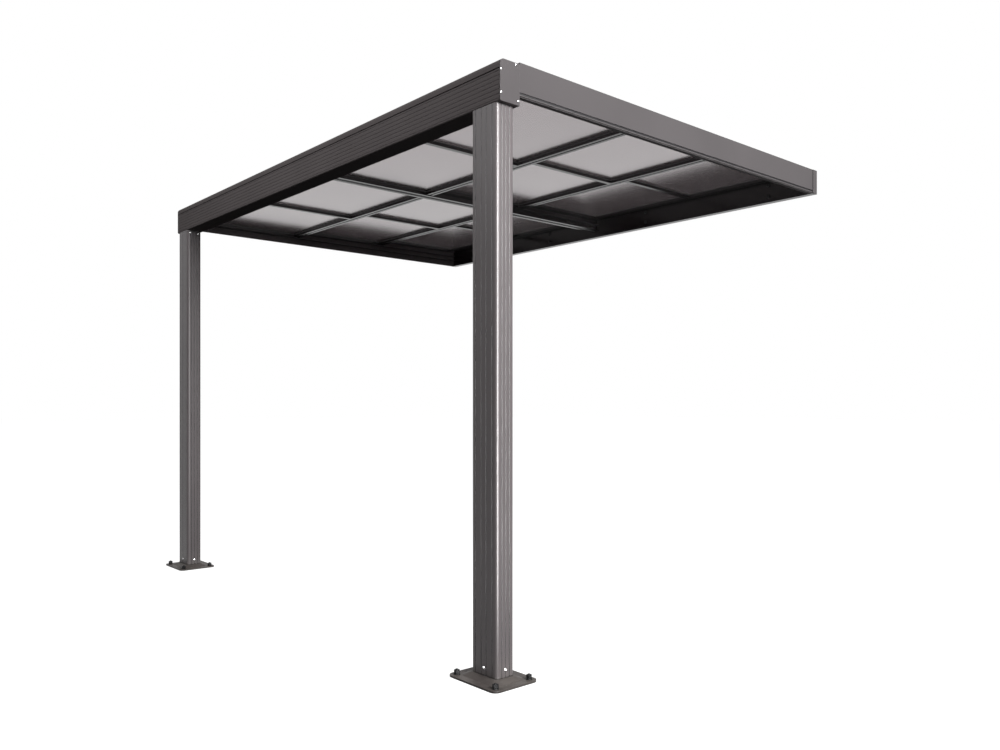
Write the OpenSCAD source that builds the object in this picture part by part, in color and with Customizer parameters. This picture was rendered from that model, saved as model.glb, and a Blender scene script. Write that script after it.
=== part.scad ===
// Lean-to pergola: a roof of stepped, glazed panel rows between a wall ledger and a ribbed gutter beam
// on two posts. X runs along the wall, Y towards the wall, Z up. The origin is the centre of the
// ledger's back face, where the pergola is fixed to the wall.

/* [Overall size] */
// Length along the wall, over the side beams
length = 3250; // [2400:10:4200]
// Depth from the front of the gutter beam to the wall
depth = 2350; // [1800:10:3200]
// Clear height from the ground to the underside of the gutter beam
clear_h = 2200; // [1900:10:2600]

/* [Gutter beam] */
// Height of the ribbed front
beam_h = 160; // [140:1:220]
// Depth of the whole beam, gutter included
beam_d = 100; // [90:1:140]
// Depth of the hollow front box
box_d = 38; // [30:1:50]
// Wall of the beam
beam_wall = 3; // [2.5:0.5:4]
// Thickness of the ribbed front wall
rib_wall = 6; // [5:0.5:8]
// Height of the gutter's rear wall
gutter_h = 100; // [84:1:102]
// Radius of the top front corner
beam_round = 20; // [4:1:24]
// Radius of the bottom front corner
beam_foot_round = 8; // [2:1:8]
// Height of the plain strip above the ribs
strip_h = 34; // [24:1:60]
// Width of the groove under the plain strip
strip_groove_w = 5; // [3:0.5:8]
// Depth of the groove under the plain strip
strip_groove_d = 4; // [1:0.5:4]
// Number of flutes that leave the ribs between them
flutes = 7; // [3:1:8]
// Radius of one flute
flute_r = 4.5; // [3:0.5:7]
// Depth of one flute
flute_d = 1.5; // [1:0.5:3]
// Thickness of the end caps
cap_t = 4; // [2:0.5:6]

/* [Side beams and ledger] */
// Height of the side beams and the ledger
side_h = 132; // [122:1:160]
// Height of the side beams' underside above that of the gutter beam
side_rise = 35; // [20:1:40]
// Width of the hollow web of a side beam
side_web = 25; // [20:1:40]
// Reach of the tracks that carry the panel frames
track_w = 20; // [16:1:24]
// Thickness of a track
track_t = 3; // [2.5:0.5:5]
// Wall of the side beams, centre rafter and ledger
side_wall = 4; // [3:0.5:5]
// Height of the step back under a side beam's outer face
foot_step_h = 4; // [2:0.5:5]
// Depth of that step
foot_step_d = 3; // [1:0.5:5]
// Height above the underside of the groove along that face's foot
foot_groove_z = 9; // [8:1:20]
// Width of that groove
foot_groove_w = 9; // [3:0.5:12]
// Depth of that groove
foot_groove_d = 5; // [1:0.5:8]
// Width of the hollow web of the centre rafter
rafter_web = 32; // [28:1:60]
// Width of the two grooves in the centre rafter's underside
rafter_groove_w = 4; // [2:0.5:5]
// Depth of those grooves
rafter_groove_d = 2; // [0.5:0.5:2.5]
// Depth of the wall ledger
ledger_d = 40; // [30:1:60]
// Thickness of the ledger's end caps
ledger_cap_t = 3; // [2:0.5:5]
// Distance of the ledger's outer fixing holes from its ends
ledger_hole_in = 275; // [100:5:500]
// Distance of the ledger's inner fixing holes from its middle
ledger_hole_mid = 450; // [200:5:650]
// Height between the two rows of fixing holes
ledger_hole_z = 64; // [40:1:80]
// Diameter of a fixing hole in the ledger
ledger_hole = 11; // [9:0.5:14]

/* [Roof panels] */
// Height of a panel frame
frame_h = 22; // [18:1:30]
// Width of a panel frame's front and rear rails
rail_w = 44; // [36:1:60]
// Width of its side and middle stiles
stile_w = 26; // [24:1:40]
// Width of the groove along a rail's underside
rail_groove_w = 10; // [3:0.5:14]
// Depth of that groove
rail_groove_d = 5; // [1:0.5:7]
// Height of the first row above the side beams' underside
first_rise = 46; // [42:1:50]
// Step up from one row to the next
row_step = 36; // [32:1:38]
// Overlap of neighbouring rows, seen from above
row_overlap = 44; // [20:1:60]
// Thickness of a roof sheet
sheet_t = 6; // [4:0.5:10]
// Width of the rebate that a sheet lies in
rebate_w = 12; // [8:1:12]
// Thickness of the lip that closes the step between two rows
lip_t = 5; // [3:0.5:8]

/* [Posts and base plates] */
// Distance of a post from the gutter beam's end
post_in = 20; // [0:1:60]
// Width of a post along the wall
post_w = 150; // [110:1:180]
// Depth of a post
post_d = 90; // [80:1:100]
// Wall of a post
post_wall = 4; // [3:0.5:6]
// Radius of a post's corners
post_round = 15; // [8:1:18]
// Width of the grooves in a post
post_groove_w = 4; // [2:0.5:6]
// Depth of the grooves in a post
post_groove_d = 1.5; // [0.5:0.5:2]
// Distance of a face's outer grooves from the post's corner
post_groove_in = 26; // [20:1:30]
// Distance of the front and back faces' inner grooves from the face's middle
post_groove_mid = 14.5; // [8:0.5:18]
// Base plate beyond the post on every side
plate_over = 68; // [62:1:90]
// Thickness of a base plate
plate_t = 8; // [5:0.5:12]
// Radius of a base plate's corners
plate_round = 28; // [10:1:40]
// Height of the sloping pad under the post
pad_h = 14; // [3:0.5:18]
// Pad's foot beyond the post on every side
pad_over = 34; // [14:1:38]
// Pad's top beyond the post on every side
pad_top_over = 5; // [2:1:12]
// Height of the socket that reaches up into the post
socket_h = 120; // [60:1:200]
// Wall of the socket
socket_wall = 5; // [4:0.5:8]
// Distance of an anchor bolt's hole from the plate's edges
bolt_in = 28; // [22:1:34]
// Diameter of an anchor bolt's hole
bolt_hole = 14; // [11:0.5:18]

/* [Fits] */
// Clearance between pieces that slide together
fit = 0.5; // [0.3:0.1:1]
// Clearance of a piece that rests beside another
seat = 0.3; // [0.2:0.1:0.5]

/* [Hidden] */
$fn = 32;
side_z = clear_h + side_rise;
ledger_y = depth - ledger_d;
foot_h = foot_groove_z + foot_groove_w + side_wall;
rafter_z = first_rise - track_t;
rafter_h = side_h - rafter_z;
rows = 3;
roof_y0 = beam_d + fit;
frame_len = (ledger_y - fit - roof_y0 + (rows - 1) * row_overlap) / rows;
row_pitch = frame_len - row_overlap;
frame_w = length / 2 - side_web - rafter_web / 2 - 2 * fit;
pane_w = (frame_w - 3 * stile_w) / 2;
pane_l = frame_len - 2 * rail_w;
core_round = post_round - post_wall;
post_z = plate_t + pad_h;
plate_w = post_w + 2 * plate_over;
plate_d = post_d + 2 * plate_over;
// Past a surface that is cut through
past = 1;

dark = [0.20, 0.20, 0.21];
mid_grey = [0.28, 0.28, 0.29];
steel = [0.33, 0.30, 0.28];
smoke = [0.62, 0.60, 0.61, 0.6];

// Moves a piece from the ground's corner below the front left to the ledger's back face
module place() {
    translate([-length / 2, -depth, -side_z - side_h / 2]) children();
}

// Stands a profile drawn in Y and Z along X
module along_x(len) {
    rotate([90, 0, 90]) linear_extrude(len) children();
}

// Lays a profile drawn in X and Z along Y
module along_y(len) {
    translate([0, len, 0]) rotate([90, 0, 0]) linear_extrude(len) children();
}

// Rectangle with round corners, from the origin
module round_rect(w, d, r) {
    translate([r, 0]) square([w - 2 * r, d]);
    translate([0, r]) square([w, d - 2 * r]);
    for (x = [r, w - r], y = [r, d - r]) translate([x, y]) circle(r);
}

// Post section: round corners, grooves down each face and a hollow core
module post_profile() {
    core_w = post_w - 2 * post_wall;
    core_d = post_d - 2 * post_wall;
    difference() {
        round_rect(post_w, post_d, post_round);
        translate([post_wall, post_wall]) round_rect(core_w, core_d, core_round);
        for (x = [post_groove_in, post_w / 2 - post_groove_mid, post_w / 2 + post_groove_mid,
                  post_w - post_groove_in], y = [post_groove_d / 2, post_d - post_groove_d / 2])
            translate([x, y]) square([post_groove_w, post_groove_d], center = true);
        for (y = [post_groove_in, post_d / 2, post_d - post_groove_in],
             x = [post_groove_d / 2, post_w - post_groove_d / 2])
            translate([x, y]) square([post_groove_d, post_groove_w], center = true);
    }
}

module post(x) {
    color(dark) place()
        translate([x, 0, post_z]) linear_extrude(clear_h - post_z) post_profile();
}

// One level of the pad that rises to the post, its outline a given distance beyond the post
module pad_level(over) {
    linear_extrude(plate_t) translate([plate_over - over, plate_over - over])
        round_rect(post_w + 2 * over, post_d + 2 * over, post_round + over / 2);
}

// Base plate with a sloping pad, a socket inside the post and four holes for anchor bolts
module base_plate(x) {
    socket_in = post_wall + fit;
    socket_w = post_w - 2 * socket_in;
    socket_d = post_d - 2 * socket_in;
    color(steel) place() translate([x - plate_over, -plate_over, 0]) difference() {
        union() {
            linear_extrude(plate_t) round_rect(plate_w, plate_d, plate_round);
            hull() {
                pad_level(pad_over);
                translate([0, 0, pad_h]) pad_level(pad_top_over);
            }
            translate([plate_over + socket_in, plate_over + socket_in, 0])
                linear_extrude(post_z + socket_h) difference() {
                    round_rect(socket_w, socket_d, core_round - fit);
                    translate([socket_wall, socket_wall])
                        square([socket_w - 2 * socket_wall, socket_d - 2 * socket_wall]);
                }
        }
        for (bx = [bolt_in, plate_w - bolt_in], by = [bolt_in, plate_d - bolt_in])
            translate([bx, by, -past]) cylinder(d = bolt_hole, h = plate_t + 2 * past);
    }
}

// Outline of the gutter beam's front box, with its two front corners rounded
module box_outline(d) {
    translate([0, beam_foot_round]) square([d, beam_h - beam_round - beam_foot_round]);
    translate([beam_foot_round, 0]) square([d - beam_foot_round, beam_foot_round]);
    translate([beam_round, beam_foot_round]) square([d - beam_round, beam_h - beam_foot_round]);
    translate([beam_round, beam_h - beam_round]) circle(beam_round);
    translate([beam_foot_round, beam_foot_round]) circle(beam_foot_round);
}

// Gutter beam section: ribbed front box, gutter floor and rear wall
module beam_profile() {
    ribbed_h = beam_h - strip_h - strip_groove_w;
    flute_pitch = ribbed_h / flutes;
    core_h = beam_h - 2 * beam_wall;
    difference() {
        union() {
            box_outline(box_d);
            translate([beam_foot_round, 0]) square([beam_d - beam_foot_round, beam_wall]);
            translate([beam_d - beam_wall, 0]) square([beam_wall, gutter_h]);
        }
        translate([rib_wall, beam_wall]) square([box_d - rib_wall - beam_wall, core_h - beam_round]);
        translate([beam_round, beam_wall]) square([box_d - beam_round - beam_wall, core_h]);
        translate([-past, ribbed_h]) square([strip_groove_d + past, strip_groove_w]);
        for (i = [0 : flutes - 1])
            translate([flute_d - flute_r, (i + 0.5) * flute_pitch]) circle(flute_r);
    }
}

module front_beam() {
    color(dark) place() translate([cap_t, 0, clear_h]) along_x(length - 2 * cap_t) beam_profile();
}

module front_beam_cap(x) {
    color(mid_grey) place() translate([x, 0, clear_h]) along_x(cap_t) box_outline(beam_d);
}

// Three tracks under the three rows, reaching right from a web whose underside is at the given height
module tracks(web_z) {
    for (row = [0 : rows - 1])
        translate([-side_wall, first_rise + row * row_step - track_t - web_z])
            square([track_w + side_wall, track_t]);
}

// Side beam section, with its outer face at the left, a groove and a step along that face's foot, and a
// hollow above the foot
module side_profile() {
    difference() {
        union() {
            square([side_web, side_h]);
            translate([side_web, 0]) tracks(0);
        }
        translate([side_wall, foot_h]) square([side_web - 2 * side_wall, side_h - foot_h - side_wall]);
        translate([-past, foot_groove_z]) square([foot_groove_d + past, foot_groove_w]);
        translate([-past, -past]) square([foot_step_d + past, foot_step_h + past]);
    }
}

module side_beam_left() {
    color(mid_grey) place() translate([0, beam_d, side_z]) along_y(ledger_y - beam_d) side_profile();
}

module side_beam_right() {
    color(mid_grey) place() translate([length, beam_d, side_z])
        along_y(ledger_y - beam_d) mirror([1, 0]) side_profile();
}

// Centre rafter section: a hollow web with tracks on both sides, the lowest level with its underside
module rafter_profile() {
    difference() {
        union() {
            translate([-rafter_web / 2, 0]) square([rafter_web, rafter_h]);
            for (side = [0, 1]) mirror([side, 0]) translate([rafter_web / 2, 0]) tracks(rafter_z);
        }
        translate([side_wall - rafter_web / 2, side_wall])
            square([rafter_web - 2 * side_wall, rafter_h - 2 * side_wall]);
        for (side = [0, 1]) mirror([side, 0]) translate([rafter_web / 2 - rafter_groove_w, -past])
            square([rafter_groove_w, rafter_groove_d + past]);
    }
}

module centre_rafter() {
    color(dark) place() translate([length / 2, beam_d, side_z + rafter_z])
        along_y(ledger_y - beam_d) rafter_profile();
}

// Wall ledger: a hollow box with two rows of holes for the bolts that hold it to the wall
module wall_ledger() {
    color(dark) place() difference() {
        translate([0, ledger_y, side_z]) along_x(length) difference() {
            square([ledger_d, side_h]);
            translate([side_wall, side_wall])
                square([ledger_d - 2 * side_wall, side_h - 2 * side_wall]);
        }
        for (side = [-1, 1], level = [-1, 1], from_middle = [ledger_hole_mid, length / 2 - ledger_hole_in])
            translate([length / 2 + side * from_middle, depth + past,
                       side_z + (side_h + level * ledger_hole_z) / 2])
                rotate([90, 0, 0]) cylinder(d = ledger_hole, h = ledger_d + 2 * past);
    }
}

module ledger_cap(x) {
    color(mid_grey) place() translate([x, ledger_y, side_z]) cube([ledger_cap_t, ledger_d, side_h]);
}

// Corner of a panel frame: half 0 lies left of the centre rafter and half 1 right of it
function frame_x(half) = half == 0 ? side_web + fit : length / 2 + rafter_web / 2 + fit;
function frame_y(row) = roof_y0 + row * row_pitch;
function frame_z(row) = side_z + first_rise + row * row_step;

// Panel frame with two panes: rebates for the sheets, and below a rear row's front bar a closing lip
module panel_frame(row, half) {
    lip_h = row_step - frame_h - seat;
    lip_in = track_w + fit;
    color(dark) place() translate([frame_x(half), frame_y(row), frame_z(row)]) {
        difference() {
            cube([frame_w, frame_len, frame_h]);
            for (pane = [0, 1]) translate([stile_w + pane * (pane_w + stile_w), rail_w, 0]) {
                translate([0, 0, -past]) cube([pane_w, pane_l, frame_h + 2 * past]);
                translate([-rebate_w, -rebate_w, frame_h - sheet_t - seat])
                    cube([pane_w + 2 * rebate_w, pane_l + 2 * rebate_w, sheet_t + seat + past]);
            }
            for (y = [rail_w / 2, frame_len - rail_w / 2])
                translate([lip_in, y - rail_groove_w / 2, -past])
                    cube([frame_w - 2 * lip_in, rail_groove_w, rail_groove_d + past]);
        }
        if (row > 0) translate([lip_in, 0, -lip_h]) cube([frame_w - 2 * lip_in, lip_t, lip_h]);
    }
}

// Roof sheet, which lies in the rebates of its pane. Columns 1 and 2 are in the left frame
module sheet(row, column) {
    half = column < 3 ? 0 : 1;
    pane = (column - 1) % 2;
    color(smoke) place()
        translate([frame_x(half) + stile_w + pane * (pane_w + stile_w) - rebate_w + fit,
                   frame_y(row) + rail_w - rebate_w + fit,
                   frame_z(row) + frame_h - sheet_t])
            cube([pane_w + 2 * (rebate_w - fit), pane_l + 2 * (rebate_w - fit), sheet_t]);
}

base_plate(post_in);  // base_plate_left
base_plate(length - post_in - post_w);  // base_plate_right
post(post_in);  // post_left
post(length - post_in - post_w);  // post_right
front_beam();
front_beam_cap(0);  // front_beam_cap_left
front_beam_cap(length - cap_t);  // front_beam_cap_right
side_beam_left();
side_beam_right();
centre_rafter();
wall_ledger();
ledger_cap(-ledger_cap_t);  // ledger_cap_left
ledger_cap(length);  // ledger_cap_right
panel_frame(0, 0);  // frame_front_left
panel_frame(0, 1);  // frame_front_right
panel_frame(1, 0);  // frame_middle_left
panel_frame(1, 1);  // frame_middle_right
panel_frame(2, 0);  // frame_rear_left
panel_frame(2, 1);  // frame_rear_right
sheet(0, 1);  // sheet_front_1
sheet(0, 2);  // sheet_front_2
sheet(0, 3);  // sheet_front_3
sheet(0, 4);  // sheet_front_4
sheet(1, 1);  // sheet_middle_1
sheet(1, 2);  // sheet_middle_2
sheet(1, 3);  // sheet_middle_3
sheet(1, 4);  // sheet_middle_4
sheet(2, 1);  // sheet_rear_1
sheet(2, 2);  // sheet_rear_2
sheet(2, 3);  // sheet_rear_3
sheet(2, 4);  // sheet_rear_4
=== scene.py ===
# %% [markdown]
# # A lean-to pergola in charcoal aluminium
# The pergola is a flat roof of twelve smoked sheets, held between a ledger on the house wall and a
# ribbed gutter beam on two posts. Its beams, frames, posts and plates are already modelled to size.
# This lesson gives every one of them its finish, adds the bolts, screws, seals and gaskets, and sets up
# a plain studio. X runs along the wall, Y towards it and Z up, all in metres.

# %% Load the pergola's construction
from math import cos, pi, radians, sin, tau

import bmesh
import bpy
from mathutils import Matrix, Vector


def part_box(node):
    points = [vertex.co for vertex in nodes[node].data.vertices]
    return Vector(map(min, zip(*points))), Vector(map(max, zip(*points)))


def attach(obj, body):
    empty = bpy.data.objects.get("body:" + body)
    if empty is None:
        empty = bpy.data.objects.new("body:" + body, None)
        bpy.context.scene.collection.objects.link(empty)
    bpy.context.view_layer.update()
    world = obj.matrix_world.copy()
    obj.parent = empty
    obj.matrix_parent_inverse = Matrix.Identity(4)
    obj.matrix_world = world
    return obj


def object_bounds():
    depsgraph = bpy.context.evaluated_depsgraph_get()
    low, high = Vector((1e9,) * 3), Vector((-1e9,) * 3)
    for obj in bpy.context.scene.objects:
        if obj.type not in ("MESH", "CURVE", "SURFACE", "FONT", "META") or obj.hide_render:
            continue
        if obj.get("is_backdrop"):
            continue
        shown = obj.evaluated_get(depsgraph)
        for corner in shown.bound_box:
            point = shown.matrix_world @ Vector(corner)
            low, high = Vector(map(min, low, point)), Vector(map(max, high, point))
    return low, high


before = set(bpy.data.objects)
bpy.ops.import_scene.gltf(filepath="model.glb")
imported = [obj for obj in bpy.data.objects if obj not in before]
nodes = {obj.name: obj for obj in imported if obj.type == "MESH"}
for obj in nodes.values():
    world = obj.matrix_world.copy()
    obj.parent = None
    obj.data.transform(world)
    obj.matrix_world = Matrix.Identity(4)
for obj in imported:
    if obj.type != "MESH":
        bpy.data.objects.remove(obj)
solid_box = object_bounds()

scene = bpy.context.scene
print("pieces of the construction:", len(nodes))

# %% [markdown]
# ## The camera
# The photograph looks up under the roof from the front right, about a metre above the ground. Its
# posts stay upright, so the camera is level and the picture is shifted, as with an architect's lens.
# Its place is measured from the ground below the gutter beam's front left corner. The focal length
# and the height of the horizon are given in pixels of the picture, and one angle turns the camera.

# %% Place the camera
PICTURE_W, PICTURE_H = 1000, 750
FOCAL_PX = 841.4
HORIZON_PX = 406.4
SENSOR_MM = 36.0
CAMERA_YAW = 48.76
CAMERA_FROM_CORNER = Vector((5.619, -2.077, 1.052))

left_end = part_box("front_beam_cap_left")[0].x
right_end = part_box("front_beam_cap_right")[1].x
front_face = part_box("front_beam")[0].y
ground_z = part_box("base_plate_left")[0].z
ground_corner = Vector((left_end, front_face, ground_z))
print("gutter beam", round(right_end - left_end, 3), "m long over its caps")


def add_object(name, data):
    """Links a new object that holds the given mesh, lamp or camera to the scene."""
    obj = bpy.data.objects.new(name, data)
    scene.collection.objects.link(obj)
    return obj


camera = add_object("camera", bpy.data.cameras.new("camera"))
camera.data.sensor_width = SENSOR_MM
camera.data.lens = FOCAL_PX / PICTURE_W * SENSOR_MM
camera.data.shift_y = (HORIZON_PX - PICTURE_H / 2) / PICTURE_W
camera.location = ground_corner + CAMERA_FROM_CORNER
camera.rotation_euler = (radians(90), 0, radians(CAMERA_YAW))
scene.camera = camera
print("camera at", [round(value, 3) for value in camera.location])
print("lens", round(camera.data.lens, 2), "mm")

# %% [markdown]
# ## The studio
# The pergola stands on a plain pale floor in soft light. The white around it comes from the colour
# that the world and the floor show to the camera and in reflections, not from stronger lamps. For
# the light that they give off they are much duller, because the undersides of the real pergola's
# beams are almost black.

# %% Build node trees with little typing
def add_node(tree, kind, **settings):
    """Adds a shader node and sets its options by attribute name."""
    node = tree.nodes.new(kind)
    for key, value in settings.items():
        setattr(node, key, value)
    return node


def link(tree, source, target):
    """Connects an output socket to an input socket."""
    tree.links.new(source, target)


def seen_directly(tree):
    """Gives 1 for camera, glossy and transmission rays, and 0 for the diffuse light of the scene."""
    path = add_node(tree, "ShaderNodeLightPath")
    camera_or_glossy = add_node(tree, "ShaderNodeMath", operation="MAXIMUM")
    any_of_three = add_node(tree, "ShaderNodeMath", operation="MAXIMUM")
    link(tree, path.outputs["Is Camera Ray"], camera_or_glossy.inputs[0])
    link(tree, path.outputs["Is Glossy Ray"], camera_or_glossy.inputs[1])
    link(tree, camera_or_glossy.outputs[0], any_of_three.inputs[0])
    link(tree, path.outputs["Is Transmission Ray"], any_of_three.inputs[1])
    return any_of_three.outputs[0]


# %% Light the world
WORLD_LIGHT = 0.16

world = bpy.data.worlds.new("studio")
world.use_nodes = True
scene.world = world
tree = world.node_tree
background = tree.nodes["Background"]
background.inputs["Color"].default_value = (1, 1, 1, 1)
strength = add_node(tree, "ShaderNodeMapRange")
strength.inputs["To Min"].default_value = WORLD_LIGHT
strength.inputs["To Max"].default_value = 1.0
link(tree, seen_directly(tree), strength.inputs["Value"])
link(tree, strength.outputs["Result"], background.inputs["Strength"])

# %% [markdown]
# ## Floor
# A single large plane is enough for a floor. Its shader mixes two things: for what the camera and
# reflections see, a white glow with a thin share of lit white, and for the light that it sends up, a
# dull grey. The lit share takes shade, but the lamps alone keep the floor near the posts past white,
# so no shadow shows there, as in the photograph.

# %% Lay the floor
FLOOR_SIZE = 120.0
FLOOR_GAP = 0.001
FLOOR_GLOW = 0.95
FLOOR_SHADE = 0.34
FLOOR_BOUNCE = 0.05


def diffuse(tree, value):
    """A matt shader of one grey."""
    node = add_node(tree, "ShaderNodeBsdfDiffuse")
    node.inputs["Color"].default_value = (value, value, value, 1)
    return node.outputs[0]


def floor_material():
    material = bpy.data.materials.new("floor")
    material.use_nodes = True
    tree = material.node_tree
    tree.nodes.clear()
    glow = add_node(tree, "ShaderNodeEmission")
    glow.inputs["Strength"].default_value = FLOOR_GLOW
    seen = add_node(tree, "ShaderNodeAddShader")
    link(tree, glow.outputs[0], seen.inputs[0])
    link(tree, diffuse(tree, FLOOR_SHADE), seen.inputs[1])
    switch = add_node(tree, "ShaderNodeMixShader")
    link(tree, seen_directly(tree), switch.inputs[0])
    link(tree, diffuse(tree, FLOOR_BOUNCE), switch.inputs[1])
    link(tree, seen.outputs[0], switch.inputs[2])
    output = add_node(tree, "ShaderNodeOutputMaterial")
    link(tree, switch.outputs[0], output.inputs["Surface"])
    return material


floor_mesh = bpy.data.meshes.new("floor")
half = FLOOR_SIZE / 2
corners = ((-half, -half), (half, -half), (half, half), (-half, half))
floor_mesh.from_pydata([(x, y, ground_z - FLOOR_GAP) for x, y in corners], [], [(0, 1, 2, 3)])
floor_mesh.materials.append(floor_material())
floor = add_object("floor", floor_mesh)
floor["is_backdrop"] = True
print("floor", FLOOR_SIZE, "m wide, at", round(floor_mesh.vertices[0].co.z, 4))

# %% [markdown]
# ## Lamps
# Three lamps do the work of a product studio. A broad key lamp hangs to the right, above the roof's
# height, so side faces are about three times as bright as front ones, a post darkens towards its
# foot, and the bars under the roof stay dark. A smaller fill lamp hangs high in front. A tall strip
# stands a little over a metre from the near post and only shows in reflections, where it draws the
# bright line down that post's corner.

# %% Set the lamps
KEY_POWER, KEY_SIZE, KEY_AT = 565.0, (3.2, 2.2), Vector((4.8, 0.6, 3.5))
FILL_POWER, FILL_SIZE, FILL_AT = 43.0, (3.6, 1.0), Vector((-1.5, -2.4, 3.3))
STRIP_POWER, STRIP_SIZE, STRIP_AT = 300.0, (0.45, 2.7), Vector((1.134, -0.39, 1.37))
AIM_HEIGHT = 2.0

near_post = (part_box("post_right")[0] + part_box("post_right")[1]) / 2
near_foot = Vector((near_post.x, near_post.y, ground_z))


def area_lamp(name, power, size, place, aim):
    """A rectangular lamp at a place, turned towards a point, and hidden from the camera itself."""
    lamp = add_object(name, bpy.data.lights.new(name, "AREA"))
    lamp.data.shape = "RECTANGLE"
    lamp.data.size, lamp.data.size_y = size
    lamp.data.energy = power
    lamp.location = place
    lamp.rotation_euler = (place - aim).to_track_quat("Z", "Y").to_euler()
    lamp.visible_camera = False
    print(name, round((place - aim).length, 2), "m from what it lights")
    return lamp


area_lamp("key_lamp", KEY_POWER, KEY_SIZE, near_foot + KEY_AT,
          near_foot + Vector((0, KEY_AT.y, AIM_HEIGHT)))
area_lamp("fill_lamp", FILL_POWER, FILL_SIZE, near_foot + FILL_AT,
          near_foot + Vector((FILL_AT.x, 0, AIM_HEIGHT)))
strip = area_lamp("strip_lamp", STRIP_POWER, STRIP_SIZE, near_foot + STRIP_AT,
                  near_foot + Vector((0, 0, STRIP_AT.z)))
strip.visible_diffuse = False
scene.view_settings.view_transform = "Standard"

# %% [markdown]
# ## Shared effects
# Four effects turn up in several finishes: the fine grain of powder coating, edges that a bevel
# softens and a paler colour lightens, partly as wear and partly as a painted highlight, dust that
# settles on what faces up, and painted shade in the grooves. Each is a node group, built once with
# named sockets and then placed in a material with its own values. The groups give out colours, masks
# and normals only, and each material keeps its own shader.

# %% Make a node group with named sockets
SOCKET = {"color": "NodeSocketColor", "value": "NodeSocketFloat", "normal": "NodeSocketVector"}


def new_group(name, inputs, outputs):
    """Starts a shader node group. Both lists hold (name, kind, default) and (name, kind)."""
    group = bpy.data.node_groups.new(name, "ShaderNodeTree")
    for socket_name, kind, default in inputs:
        socket = group.interface.new_socket(name=socket_name, in_out="INPUT", socket_type=SOCKET[kind])
        socket.default_value = default
    for socket_name, kind in outputs:
        group.interface.new_socket(name=socket_name, in_out="OUTPUT", socket_type=SOCKET[kind])
    start = add_node(group, "NodeGroupInput")
    end = add_node(group, "NodeGroupOutput")
    return group, start.outputs, end.inputs


def noise(tree, scale, detail=3.0):
    """Noise in the object's own metres, so that its size is real whatever the piece."""
    place = add_node(tree, "ShaderNodeTexCoord")
    texture = add_node(tree, "ShaderNodeTexNoise")
    texture.inputs["Scale"].default_value = scale
    texture.inputs["Detail"].default_value = detail
    link(tree, place.outputs["Object"], texture.inputs["Vector"])
    return texture


def math(tree, operation, a, b, clamp=False):
    """A math node, whose two inputs are sockets or plain numbers."""
    node = add_node(tree, "ShaderNodeMath", operation=operation, use_clamp=clamp)
    for slot, value in zip(node.inputs, (a, b)):
        if isinstance(value, (int, float)):
            slot.default_value = value
        else:
            link(tree, value, slot)
    return node.outputs[0]


def mix_color(tree, share, a, b, blend="MIX"):
    """A colour mix of sockets a and b, where share and b may also be plain values."""
    node = add_node(tree, "ShaderNodeMix", data_type="RGBA", blend_type=blend)
    for slot, value in ((node.inputs[0], share), (node.inputs[6], a), (node.inputs[7], b)):
        if isinstance(value, (int, float, tuple)):
            slot.default_value = value
        else:
            link(tree, value, slot)
    return node.outputs[2]


def ramp(tree, value, low, high):
    """Stretches a value so that low gives 0 and high gives 1."""
    node = add_node(tree, "ShaderNodeMapRange")
    node.inputs["From Min"].default_value = low
    node.inputs["From Max"].default_value = high
    link(tree, value, node.inputs["Value"])
    return node.outputs["Result"]


# %% [markdown]
# ## Powder coating
# Powder coating is sprayed on dry and baked, which leaves a skin with a fine orange-peel texture
# and a tone that drifts slightly along each extrusion. Two noises give that: one of a millimetre for
# the height of the skin and the roughness, and one of a third of a metre for the tone.

# %% Group: coat grain
GRAIN_SCALE, TONE_SCALE = 900.0, 2.6


def coat_grain_group():
    group, given, out = new_group(
        "coat_grain",
        [("Color", "color", (0.1, 0.1, 0.1, 1)), ("Tone Drift", "value", 0.12),
         ("Grain Scale", "value", GRAIN_SCALE), ("Roughness", "value", 0.45),
         ("Roughness Drift", "value", 0.08)],
        [("Color", "color"), ("Roughness", "value"), ("Height", "value")])
    grain = noise(group, GRAIN_SCALE, 2.0)
    link(group, given["Grain Scale"], grain.inputs["Scale"])
    drift = noise(group, TONE_SCALE, 2.0)
    tone = math(group, "MULTIPLY", math(group, "SUBTRACT", drift.outputs["Fac"], 0.5), given["Tone Drift"])
    brightness = math(group, "ADD", math(group, "MULTIPLY", tone, 2.0), 1.0)
    grey = add_node(group, "ShaderNodeCombineColor")
    for channel in grey.inputs:
        link(group, brightness, channel)
    link(group, mix_color(group, 1.0, given["Color"], grey.outputs[0], "MULTIPLY"), out["Color"])
    centred = math(group, "SUBTRACT", grain.outputs["Fac"], 0.5)
    swing = math(group, "MULTIPLY", centred, given["Roughness Drift"])
    link(group, math(group, "ADD", given["Roughness"], swing), out["Roughness"])
    link(group, grain.outputs["Fac"], out["Height"])
    return group


coat_grain = coat_grain_group()
print("made group", coat_grain.name)

# %% [markdown]
# ## Soft and worn edges, with a painted highlight
# No extrusion has knife edges. A Bevel node bends the normal over the last millimetres, so an edge
# catches a thin line of light without more geometry. Where the bent normal leaves the true one,
# there is an edge, and that difference also serves as the mask for a paler coat, which is partly
# rubbed wear and partly a painted highlight along the edge.

# %% Group: worn edges
EDGE_GAIN = 4.0
PATCH_SCALE, PATCH_BARE, PATCH_WORN = 24.0, 0.35, 0.62


# Edges get a paler colour here: partly rubbed wear, partly a painted highlight.
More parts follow.
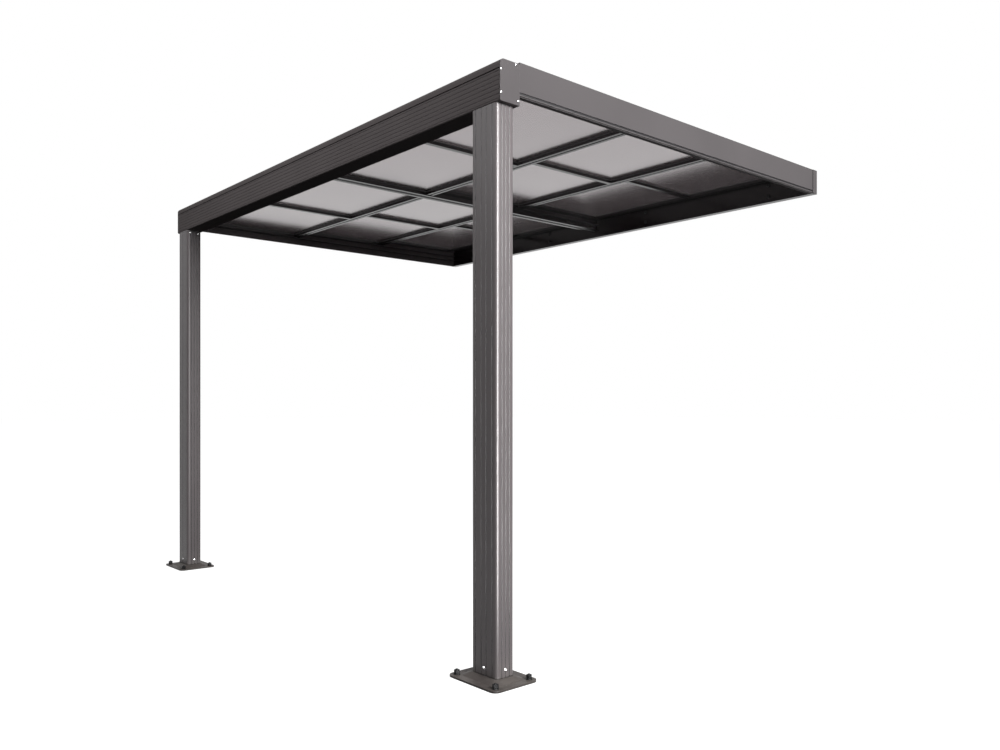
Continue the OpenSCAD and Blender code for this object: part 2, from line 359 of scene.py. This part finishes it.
def worn_and_highlit_edges_group():
    group, given, out = new_group(
        "worn_and_highlit_edges",
        [("Color", "color", (0.1, 0.1, 0.1, 1)), ("Edge Color", "color", (0.3, 0.3, 0.3, 1)),
         ("Edge Width", "value", 0.0015), ("Wear", "value", 0.5)],
        [("Color", "color"), ("Mask", "value"), ("Normal", "normal")])
    bevel = add_node(group, "ShaderNodeBevel", samples=6)
    link(group, given["Edge Width"], bevel.inputs["Radius"])
    true_normal = add_node(group, "ShaderNodeNewGeometry").outputs["Normal"]
    agree = add_node(group, "ShaderNodeVectorMath", operation="DOT_PRODUCT")
    link(group, bevel.outputs[0], agree.inputs[0])
    link(group, true_normal, agree.inputs[1])
    bent = math(group, "SUBTRACT", 1.0, agree.outputs["Value"])
    edge = math(group, "MULTIPLY", bent, EDGE_GAIN, clamp=True)
    patchy = ramp(group, noise(group, PATCH_SCALE).outputs["Fac"], PATCH_BARE, PATCH_WORN)
    mask = math(group, "MULTIPLY", math(group, "MULTIPLY", edge, patchy), given["Wear"])
    link(group, mix_color(group, mask, given["Color"], given["Edge Color"]), out["Color"])
    link(group, mask, out["Mask"])
    link(group, bevel.outputs[0], out["Normal"])
    return group


worn_and_highlit_edges = worn_and_highlit_edges_group()
print("made group", worn_and_highlit_edges.name)

# %% [markdown]
# ## Dust
# Outdoors, dust and dried rain settle on what faces up and in the first hand's breadth above the
# ground, where rain splashes. The mask takes the larger of those two and breaks it up with noise.

# %% Group: settled dust
UPWARD_POWER, SPLASH_SHARE = 3.0, 0.6
DUST_SCALE, DUST_DETAIL, DUST_CLEAN, DUST_FULL = 9.0, 6.0, 0.3, 0.7


def settled_dust_group():
    group, given, out = new_group(
        "settled_dust",
        [("Color", "color", (0.1, 0.1, 0.1, 1)), ("Dust Color", "color", (0.3, 0.28, 0.25, 1)),
         ("Amount", "value", 0.4), ("Ground Height", "value", 0.0), ("Splash Height", "value", 0.12)],
        [("Color", "color"), ("Mask", "value")])
    geometry = add_node(group, "ShaderNodeNewGeometry")
    facing = add_node(group, "ShaderNodeSeparateXYZ")
    link(group, geometry.outputs["Normal"], facing.inputs[0])
    upward = math(group, "POWER", math(group, "MAXIMUM", facing.outputs["Z"], 0.0), UPWARD_POWER)
    place = add_node(group, "ShaderNodeTexCoord")
    spot = add_node(group, "ShaderNodeSeparateXYZ")
    link(group, place.outputs["Object"], spot.inputs[0])
    above = math(group, "SUBTRACT", spot.outputs["Z"], given["Ground Height"])
    share = math(group, "DIVIDE", above, given["Splash Height"])
    splash = math(group, "SUBTRACT", 1.0, share, clamp=True)
    cover = math(group, "MAXIMUM", upward, math(group, "MULTIPLY", splash, SPLASH_SHARE))
    broken = ramp(group, noise(group, DUST_SCALE, DUST_DETAIL).outputs["Fac"], DUST_CLEAN, DUST_FULL)
    mask = math(group, "MULTIPLY", math(group, "MULTIPLY", cover, broken), given["Amount"])
    link(group, mix_color(group, mask, given["Color"], given["Dust Color"]), out["Color"])
    link(group, mask, out["Mask"])
    return group


settled_dust = settled_dust_group()
print("made group", settled_dust.name)

# %% [markdown]
# ## Painted shade in grooves
# The coat is painted darker in narrow grooves and joints. This is painted shade, and it draws the
# dark lines that make an extrusion readable. An Ambient Occlusion node with a reach of a few
# millimetres finds such places by itself, which is far less work than painting them by hand.

# %% Group: groove shade
OPEN_AIR, CLOSED_AIR = 0.95, 0.55
# Near-black colour mixed into grooves and joints as painted shade.
PAINTED_GROOVE_SHADE = (0.004, 0.004, 0.004, 1)


def groove_shade_group():
    group, given, out = new_group(
        "groove_shade",
        [("Color", "color", (0.1, 0.1, 0.1, 1)), ("Reach", "value", 0.006), ("Depth", "value", 0.8)],
        [("Color", "color"), ("Mask", "value")])
    air = add_node(group, "ShaderNodeAmbientOcclusion", samples=6)
    link(group, given["Reach"], air.inputs["Distance"])
    closed = ramp(group, air.outputs["AO"], OPEN_AIR, CLOSED_AIR)
    mask = math(group, "MULTIPLY", closed, given["Depth"])
    link(group, mix_color(group, mask, given["Color"], PAINTED_GROOVE_SHADE), out["Color"])
    link(group, mask, out["Mask"])
    return group


groove_shade = groove_shade_group()
print("made group", groove_shade.name)

# %% [markdown]
# ## Painted metal
# Every painted piece passes through the same four groups: grain, edges, grooves, then dust. One
# function builds such a material from a colour and a few values, and what makes a finish its own
# stays on the shader: how glossy it is, and how strongly it mirrors.

# %% Painted metal from the four groups
def place_group(tree, group, **values):
    """Places a node group and sets its inputs by name, where an underscore stands for a space."""
    node = add_node(tree, "ShaderNodeGroup", node_tree=group)
    for key, value in values.items():
        socket = node.inputs[key.replace("_", " ")]
        if isinstance(value, bpy.types.NodeSocket):
            link(tree, value, socket)
        else:
            socket.default_value = value
    return node.outputs


def opaque(color):
    return (*color, 1.0)


def new_material(name):
    """Starts a material, and gives it with its node tree and its own shader."""
    material = bpy.data.materials.new(name)
    material.use_nodes = True
    return material, material.node_tree, material.node_tree.nodes["Principled BSDF"]


def bump(tree, height, distance):
    """A Bump node for a height, whose full swing is the given distance in metres."""
    node = add_node(tree, "ShaderNodeBump")
    node.inputs["Distance"].default_value = distance
    link(tree, height, node.inputs["Height"])
    return node


def feed_shader(tree, shader, color, roughness, relief):
    """Connects what every finish here ends with: colour, roughness and a Bump node."""
    link(tree, color, shader.inputs["Base Color"])
    link(tree, roughness, shader.inputs["Roughness"])
    link(tree, relief.outputs[0], shader.inputs["Normal"])


def painted_metal(name, color, roughness, mirror, edge, edge_width=0.0015, wear=0.5, dust=0.35,
                  drift=0.12, grain_depth=0.00004, shade=0.8, metallic=0.0):
    material, tree, shader = new_material(name)
    shader.inputs["Specular IOR Level"].default_value = mirror
    shader.inputs["Metallic"].default_value = metallic
    grain = place_group(tree, coat_grain, Color=opaque(color), Roughness=roughness, Tone_Drift=drift)
    edges = place_group(tree, worn_and_highlit_edges, Color=grain["Color"], Edge_Color=opaque(edge),
                        Edge_Width=edge_width, Wear=wear)
    grooves = place_group(tree, groove_shade, Color=edges["Color"], Depth=shade)
    dusty = place_group(tree, settled_dust, Color=grooves["Color"], Amount=dust, Ground_Height=ground_z)
    relief = bump(tree, grain["Height"], grain_depth)
    link(tree, edges["Normal"], relief.inputs["Normal"])
    feed_shader(tree, shader, dusty["Color"], grain["Roughness"], relief)
    return material


# %% [markdown]
# ## Charcoal coats
# The frame is one colour, but its extrusions take the light differently, and a single material would
# make them all look the same. The posts have a satin sheen that draws a line down a round corner,
# helped by a painted highlight along the edge. The ribbed gutter beam looks dead matt. The side beams
# and caps lie between the two. The bars under the roof, the centre rafter and the ledger get a colour
# about an eighth as bright, as painted shade for the shadow under the roof: black from the side, and
# pale only where a grazing look mirrors the ground.

# %% Finish the frame
CHARCOAL = (0.114, 0.100, 0.103)
# Paler edge colour: partly rubbed coat, partly a painted highlight along the edges.
RUBBED_AND_HIGHLIT = (0.30, 0.29, 0.30)
# The posts' wider pale edge also paints part of the highlight down their round corners.
charcoal_satin = painted_metal("charcoal_satin", CHARCOAL, 0.36, 0.22, RUBBED_AND_HIGHLIT, edge_width=0.003,
                               shade=1.0, grain_depth=0.00001)
charcoal_matt = painted_metal("charcoal_matt", (0.134, 0.120, 0.121), 0.75, 0.0, RUBBED_AND_HIGHLIT, wear=0.2,
                              shade=0.3)
charcoal_beam = painted_metal("charcoal_beam", (0.090, 0.083, 0.085), 0.6, 0.02, RUBBED_AND_HIGHLIT)
# Painted shade: the bars' colour is about an eighth of CHARCOAL, for the shadow under the roof.
charcoal_bars_painted_shade = painted_metal("charcoal_bars_painted_shade", (0.014, 0.011, 0.012), 0.18, 0.28, (0.10, 0.09, 0.10))

FINISH = {"post": charcoal_satin, "front_beam": charcoal_matt, "front_beam_cap": charcoal_beam,
          "side_beam": charcoal_beam, "ledger_cap": charcoal_beam, "wall_ledger": charcoal_bars_painted_shade,
          "centre_rafter": charcoal_bars_painted_shade, "frame": charcoal_bars_painted_shade}


def wear_material(obj, material):
    """Gives a piece one material."""
    obj.data.materials.clear()
    obj.data.materials.append(material)


for name in sorted(nodes):
    starts = [start for start in FINISH if name.startswith(start)]
    if starts:
        wear_material(nodes[name], FINISH[max(starts, key=len)])
print("coated:", sum(1 for obj in nodes.values() if obj.data.materials[0].name.startswith("charcoal")))

# %% [markdown]
# ## Base plates
# The plates are steel under a brownish primer-like coat. They stand in the splash zone, so their tone
# is patchy, and they rub bare sooner at their edges than anything else.

# %% Finish the base plates
plate_coat = painted_metal("plate_coat", (0.066, 0.056, 0.053), 0.45, 0.1, (0.20, 0.18, 0.17),
                           wear=0.8, dust=0.2, drift=0.6, shade=1.0)
for side in ("left", "right"):
    wear_material(nodes["base_plate_" + side], plate_coat)

# %% [markdown]
# ## Smoked sheets
# The roof sheets are 6 mm polycarbonate with a smoked, slightly pearly body. Seen from below they
# mirror the bright ground, and beside the ledger they mirror its dark face. So the sheet is mostly a
# soft mirror: a little metallic pearl, a dark body that lets some light through, and a surface that is
# not quite flat. Real sheets also have a small fall to the gutter. The solids are level, so the fall
# is in the shading: a height that climbs towards the wall tilts the normal by under three degrees.

# %% Finish the sheets
SMOKE = (0.365, 0.318, 0.328)
SHEET_ROUGHNESS = 0.16
SHEET_PEARL = 0.39
SHEET_CLEAR = 0.75
SHEET_IOR = 1.58
SHEET_WAVE, SHEET_WAVE_SCALE = 0.00015, 1.7
SHEET_FALL = 0.045


def smoked_sheet():
    material, tree, shader = new_material("smoked_sheet")
    shader.inputs["Metallic"].default_value = SHEET_PEARL
    shader.inputs["Transmission Weight"].default_value = SHEET_CLEAR
    shader.inputs["IOR"].default_value = SHEET_IOR
    grain = place_group(tree, coat_grain, Color=opaque(SMOKE), Tone_Drift=0.08, Grain_Scale=500.0,
                        Roughness=SHEET_ROUGHNESS, Roughness_Drift=0.01)
    dusty = place_group(tree, settled_dust, Color=grain["Color"], Amount=0.12, Ground_Height=ground_z)
    wave = math(tree, "MULTIPLY", noise(tree, SHEET_WAVE_SCALE, 1.0).outputs["Fac"], SHEET_WAVE)
    place = add_node(tree, "ShaderNodeTexCoord")
    spot = add_node(tree, "ShaderNodeSeparateXYZ")
    link(tree, place.outputs["Object"], spot.inputs[0])
    facing = add_node(tree, "ShaderNodeSeparateXYZ")
    link(tree, add_node(tree, "ShaderNodeNewGeometry").outputs["True Normal"], facing.inputs[0])
    rise = math(tree, "MULTIPLY", spot.outputs["Y"], SHEET_FALL)
    climb = math(tree, "MULTIPLY", rise, facing.outputs["Z"])
    relief = bump(tree, math(tree, "ADD", wave, climb), 1.0)
    feed_shader(tree, shader, dusty["Color"], grain["Roughness"], relief)
    return material


sheet_material = smoked_sheet()
for name in sorted(nodes):
    if name.startswith("sheet"):
        wear_material(nodes[name], sheet_material)
print("sheets:", sum(1 for name in nodes if name.startswith("sheet")))

# %% [markdown]
# ## Turned parts
# Screws, washers and nuts are turned or pressed, so each is a profile spun round its axis. A helper
# takes the profile as pairs of radius and height and adds the spun surface to a mesh. Given six
# sides it makes a nut's prism, and a frame says where the part sits and which way it points.

# %% Spin a profile round an axis
def seat_at(point, outward):
    """Frame at a point of a face, with Z along the face's outward direction."""
    turn = Vector(outward).to_track_quat("Z", "Y").to_matrix().to_4x4()
    return Matrix.Translation(point) @ turn


def spin(mesh, seat, profile, sides=24, turn=0.0):
    """Adds a surface of revolution to a bmesh. A profile end with radius 0 closes in a point."""
    rings = []
    for radius, height in profile:
        if radius == 0:
            rings.append([mesh.verts.new(seat @ Vector((0, 0, height)))])
            continue
        angles = [turn + tau * i / sides for i in range(sides)]
        points = [Vector((radius * cos(a), radius * sin(a), height)) for a in angles]
        rings.append([mesh.verts.new(seat @ point) for point in points])
    for low, high in zip(rings, rings[1:]):
        for i in range(sides):
            j = (i + 1) % sides
            corners = [low[i % len(low)], low[j % len(low)], high[j % len(high)], high[i % len(high)]]
            mesh.faces.new(list(dict.fromkeys(corners)))
    for ring, flip in ((rings[0], True), (rings[-1], False)):
        if len(ring) > 1:
            mesh.faces.new(list(reversed(ring)) if flip else ring)


def finish_piece(name, mesh, material, smooth_below=35.0):
    """Turns a bmesh into a piece that rides on the pergola, smooth but for its sharp edges."""
    bmesh.ops.recalc_face_normals(mesh, faces=mesh.faces)
    for face in mesh.faces:
        face.smooth = True
    for edge in mesh.edges:
        edge.smooth = not edge.is_manifold or edge.calc_face_angle(pi) < radians(smooth_below)
    data = bpy.data.meshes.new(name)
    mesh.to_mesh(data)
    mesh.free()
    obj = add_object(name, data)
    wear_material(obj, material)
    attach(obj, "root")
    print(name, len(data.polygons), "faces")
    return obj


# %% [markdown]
# ## Anchor bolts
# Four black anchors hold each plate to the ground. From the plate up, each is a washer, a tall
# hexagon nut with turned corners, and the last thread of its stud with a rounded end.

# %% Model one anchor
WASHER_R, WASHER_T = 0.0130, 0.003
NUT_ACROSS_FLATS, NUT_T = 0.021, 0.015
STUD_R, STUD_UP, THREAD_PITCH, THREAD_DEPTH = 0.006, 0.0018, 0.00175, 0.0006
STUD_END = [(0.8, 0.0012), (0.4, 0.002), (0, 0.0022)]
RIM_SHARE = 0.25
FACE_SHARE, CUT_SHARE = 0.96, 0.6


def washer(mesh, seat, radius, thickness, bore):
    """A flat ring with a broken outer edge."""
    rim = thickness * RIM_SHARE
    spin(mesh, seat, [(bore, 0), (radius - rim, 0), (radius, rim), (radius, thickness - rim),
                      (radius - rim, thickness), (bore, thickness)], 32)


def hex_body(mesh, seat, across_flats, height, turn=0.0):
    """A hexagon prism, whose corners are cut by a cone at the top and bottom."""
    corner_r = across_flats / 2 / cos(pi / 6)
    face_r = across_flats / 2 * FACE_SHARE
    cut = (corner_r - across_flats / 2) * CUT_SHARE
    spin(mesh, seat, [(0, 0), (face_r, 0), (corner_r, cut), (corner_r, height - cut),
                      (face_r, height), (0, height)], 6, turn)


def anchor(mesh, seat, turn):
    washer(mesh, seat, WASHER_R, WASHER_T, STUD_R)
    hex_body(mesh, seat @ Matrix.Translation((0, 0, WASHER_T)), NUT_ACROSS_FLATS, NUT_T, turn)
    base = WASHER_T + NUT_T
    profile = [(STUD_R, base)]
    for i in range(int(STUD_UP / THREAD_PITCH)):
        low = base + i * THREAD_PITCH
        profile += [(STUD_R, low + THREAD_PITCH * 0.3), (STUD_R - THREAD_DEPTH, low + THREAD_PITCH * 0.65),
                    (STUD_R, low + THREAD_PITCH)]
    top = profile[-1][1]
    profile += [(STUD_R * share, top + up) for share, up in STUD_END]
    spin(mesh, seat, profile, 24)


# %% [markdown]
# ## Where the anchors go
# The holes are already in the plates. Their centres lie the same distance in from each edge, so
# the plate's own box gives them, and a small turn for each nut keeps them from looking copied.

# %% Set the anchors in the plates
PLATE_T = 0.008
HOLE_FROM_EDGE = 0.028
FIRST_NUT_TURN, NUT_TURN_STEP = 0.2, 0.37
black_steel = painted_metal("black_steel", (0.006, 0.006, 0.007), 0.45, 0.15, (0.04, 0.04, 0.04),
                            edge_width=0.0006, dust=0.03, wear=0.3)
for side in ("left", "right"):
    low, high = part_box("base_plate_" + side)
    mesh = bmesh.new()
    turn = FIRST_NUT_TURN
    for x in (low.x + HOLE_FROM_EDGE, high.x - HOLE_FROM_EDGE):
        for y in (low.y + HOLE_FROM_EDGE, high.y - HOLE_FROM_EDGE):
            anchor(mesh, seat_at((x, y, low.z + PLATE_T), (0, 0, 1)), turn)
            turn += NUT_TURN_STEP
    finish_piece("anchors_" + side, mesh, black_steel)

# %% [markdown]
# ## Bright screws
# Stainless pan-head screws hold the end caps to the gutter beam and the posts to their sockets.
# A pan head is a low dome with a rim, and a hexagon recess in its middle takes the key.

# %% Model one pan-head screw
SCREW_R, SCREW_H, KEY_R, KEY_DEPTH = 0.006, 0.0032, 0.0022, 0.0018
DOME_STEPS = (0, 15, 30, 45, 60, 68)


def pan_screw(mesh, seat, scale=1.0):
    """A pan head, as dome, rim and a recess for the key."""
    r, h = SCREW_R * scale, SCREW_H * scale
    rim = [(r * 0.92, 0), (r, h * 0.15)]
    dome = [(r * cos(radians(a)), h * (0.35 + 0.65 * sin(radians(a)))) for a in DOME_STEPS]
    recess_r, recess_floor = KEY_R * scale, h - KEY_DEPTH * scale
    spin(mesh, seat, rim + dome + [(recess_r, h), (recess_r, recess_floor), (0, recess_floor)], 24)


bright_steel = painted_metal("bright_steel", (0.80, 0.80, 0.80), 0.25, 0.5, (0.9, 0.9, 0.9),
                             edge_width=0.0004, dust=0.05, wear=0.1, drift=0.05, shade=0.0, metallic=1.0)

# %% Screw the posts to their sockets
FOOT_SCREW_UP = 0.030
TOP_SCREW_DOWN, TOP_SCREW_IN = 0.016, 0.020
SMALL_SCREW = 0.62
for side, inner in (("left", 1), ("right", -1)):
    low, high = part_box("post_" + side)
    middle = (low + high) / 2
    mesh = bmesh.new()
    foot_z = low.z + FOOT_SCREW_UP
    for outward in ((0, -1, 0), (0, 1, 0), (1, 0, 0), (-1, 0, 0)):
        face_x = middle.x + outward[0] * (high.x - low.x) / 2
        face_y = middle.y + outward[1] * (high.y - low.y) / 2
        pan_screw(mesh, seat_at((face_x, face_y, foot_z), outward))
    inner_x = high.x if inner > 0 else low.x
    for y in (low.y + TOP_SCREW_IN, high.y - TOP_SCREW_IN):
        pan_screw(mesh, seat_at((inner_x, y, high.z - TOP_SCREW_DOWN), (inner, 0, 0)), SMALL_SCREW)
    finish_piece("post_screws_" + side, mesh, bright_steel)

# %% Screw the end caps to the gutter beam
CAP_SCREWS = {"front_top": (0.005, 0.119), "front_foot": (0.006, 0.033), "rear_top": (0.079, 0.154),
              "rear_foot": (0.094, 0.018)}
for side, outward in (("left", -1), ("right", 1)):
    low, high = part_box("front_beam_cap_" + side)
    mesh = bmesh.new()
    cap_x = high.x if outward > 0 else low.x
    for back, up in CAP_SCREWS.values():
        pan_screw(mesh, seat_at((cap_x, low.y + back, low.z + up), (outward, 0, 0)), SMALL_SCREW)
    finish_piece("cap_screws_" + side, mesh, bright_steel)

# %% [markdown]
# ## Ledger bolts
# Eight hexagon bolts with washers clamp the ledger to the house wall. They go through the holes that
# are already in its face, two above each other, so their places follow from the ledger's box.

# %% Bolt the ledger
LEDGER_BOLT_FROM_END, LEDGER_BOLT_FROM_MIDDLE, LEDGER_BOLT_APART = 0.275, 0.450, 0.064
BOLT_WASHER_R, BOLT_WASHER_T, BOLT_BORE = 0.0115, 0.002, 0.005
BOLT_ACROSS_FLATS, BOLT_HEAD = 0.016, 0.0064
FIRST_BOLT_TURN, BOLT_TURN_STEP = 0.1, 0.43

low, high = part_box("wall_ledger")
middle = (low + high) / 2
mesh = bmesh.new()
turn = FIRST_BOLT_TURN
for x in (low.x + LEDGER_BOLT_FROM_END, middle.x - LEDGER_BOLT_FROM_MIDDLE,
          middle.x + LEDGER_BOLT_FROM_MIDDLE, high.x - LEDGER_BOLT_FROM_END):
    for z in (middle.z - LEDGER_BOLT_APART / 2, middle.z + LEDGER_BOLT_APART / 2):
        seat = seat_at((x, low.y, z), (0, -1, 0))
        washer(mesh, seat, BOLT_WASHER_R, BOLT_WASHER_T, BOLT_BORE)
        hex_body(mesh, seat @ Matrix.Translation((0, 0, BOLT_WASHER_T)), BOLT_ACROSS_FLATS, BOLT_HEAD,
                 turn)
        turn += BOLT_TURN_STEP
finish_piece("ledger_bolts", mesh, black_steel)

# %% [markdown]
# ## Black rubber
# Seals close the joints between metal and sheet. Extruded rubber is matt and nearly black, with a
# little bloom where it faces up, so it takes the grain and the dust but has no worn edges.

# %% Make the rubber
RUBBER_BLACK = (0.012, 0.011, 0.012)
RUBBER_GRAIN_DEPTH = 0.00003


def black_rubber():
    material, tree, shader = new_material("black_rubber")
    shader.inputs["Specular IOR Level"].default_value = 0.2
    grain = place_group(tree, coat_grain, Color=opaque(RUBBER_BLACK), Tone_Drift=0.2,
                        Grain_Scale=1500.0, Roughness=0.6)
    dusty = place_group(tree, settled_dust, Color=grain["Color"], Amount=0.1, Ground_Height=ground_z)
    relief = bump(tree, grain["Height"], RUBBER_GRAIN_DEPTH)
    feed_shader(tree, shader, dusty["Color"], grain["Roughness"], relief)
    return material


rubber = black_rubber()

# %% [markdown]
# ## Seals along the side beams
# A groove runs along the foot of each side beam, and a black bulb seal fills it. The seal also
# stands in as painted shade for the groove's dark line. Its profile is drawn once, as pairs of
# outward and upward millimetres, and swept along the beam as two rings of points.

# %% Press a seal into each side groove
SHADE_SEAL_PROFILE = [(0, -4.2), (1.6, -4.2), (2.4, -3.2), (2.8, -1.2), (2.8, 1.2), (2.4, 3.2), (1.6, 4.2),
                (0, 4.2)]
GROOVE_DEPTH, GROOVE_MIDDLE_UP, SEAL_SHORT = 0.005, 0.0135, 0.001


def sweep_along_beam(mesh, profile, low, high, x, z, side=1):
    """Draws a profile at both ends of a beam, a little short of them, and joins the two rings."""
    rings = []
    for y in (low.y + SEAL_SHORT, high.y - SEAL_SHORT):
        rings.append([mesh.verts.new((x + side * across / 1000, y, z + up / 1000))
                      for across, up in profile])
    for i in range(len(profile)):
        j = (i + 1) % len(profile)
        mesh.faces.new((rings[0][i], rings[0][j], rings[1][j], rings[1][i]))
    for ring in rings:
        mesh.faces.new(ring)


# The black seal in each groove is partly rubber and partly painted shade for the groove's dark line.
for side, outward in (("left", -1), ("right", 1)):
    low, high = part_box("side_beam_" + side)
    groove_floor = (high.x if outward > 0 else low.x) - outward * GROOVE_DEPTH
    mesh = bmesh.new()
    sweep_along_beam(mesh, SHADE_SEAL_PROFILE, low, high, groove_floor, low.z + GROOVE_MIDDLE_UP, outward)
    finish_piece("side_shade_seal_" + side, mesh, rubber)

# %% [markdown]
# ## The rafter's cover strip
# From below, the centre rafter reads as a dark line between two pale ones. The dark line is a rubber
# strip under its web, slightly crowned, which leaves a few millimetres of coat free on both sides.

# %% Lay the strip under the rafter
COVER_PROFILE = [(-7.5, 0.05), (7.5, 0.05), (7.5, -0.9), (5.5, -1.4), (0, -1.6), (-5.5, -1.4),
                 (-7.5, -0.9)]

low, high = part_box("centre_rafter")
mesh = bmesh.new()
sweep_along_beam(mesh, COVER_PROFILE, low, high, (low.x + high.x) / 2, low.z)
finish_piece("rafter_strip", mesh, rubber)

# %% [markdown]
# ## Glazing gaskets
# A thin wedge of rubber runs round each opening, under the sheet and against the bars. Each point of
# its profile makes one rectangle, a little further in than the last, and the rectangles are joined
# into a mitred ring. The four corners then fit by themselves.

# %% Line each opening
GASKET_PROFILE = [(-0.1, -0.1), (3.0, -0.1), (3.0, 0.6), (0.8, 2.6), (-0.1, 2.6)]
SHEET_IN_REBATE = 0.0115


def gasket(mesh, sheet_low, sheet_high):
    """Adds the mitred ring of rubber below one sheet."""
    rings = []
    for inward, down in GASKET_PROFILE:
        inset = SHEET_IN_REBATE + inward / 1000
        x0, x1 = sheet_low.x + inset, sheet_high.x - inset
        y0, y1 = sheet_low.y + inset, sheet_high.y - inset
        z = sheet_low.z - down / 1000
        rings.append([mesh.verts.new((x, y, z)) for x, y in ((x0, y0), (x1, y0), (x1, y1), (x0, y1))])
    for i in range(len(rings)):
        low_ring, high_ring = rings[i], rings[(i + 1) % len(rings)]
        for c in range(4):
            d = (c + 1) % 4
            mesh.faces.new((low_ring[c], low_ring[d], high_ring[d], high_ring[c]))


for row in ("front", "middle", "rear"):
    for half, columns in (("left", (1, 2)), ("right", (3, 4))):
        mesh = bmesh.new()
        for column in columns:
            gasket(mesh, *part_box(f"sheet_{row}_{column}"))
        finish_piece(f"gaskets_{row}_{half}", mesh, rubber)

# %% [markdown]
# ## The two boxes
# The dressed model has to stay within the construction's own box, so both boxes are written down
# side by side.

# %% Write the boxes and finish
dressed_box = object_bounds()
for label, box in (("construction", solid_box), ("dressed", dressed_box)):
    print(label, [round(value, 4) for value in (*box[0], *box[1])])
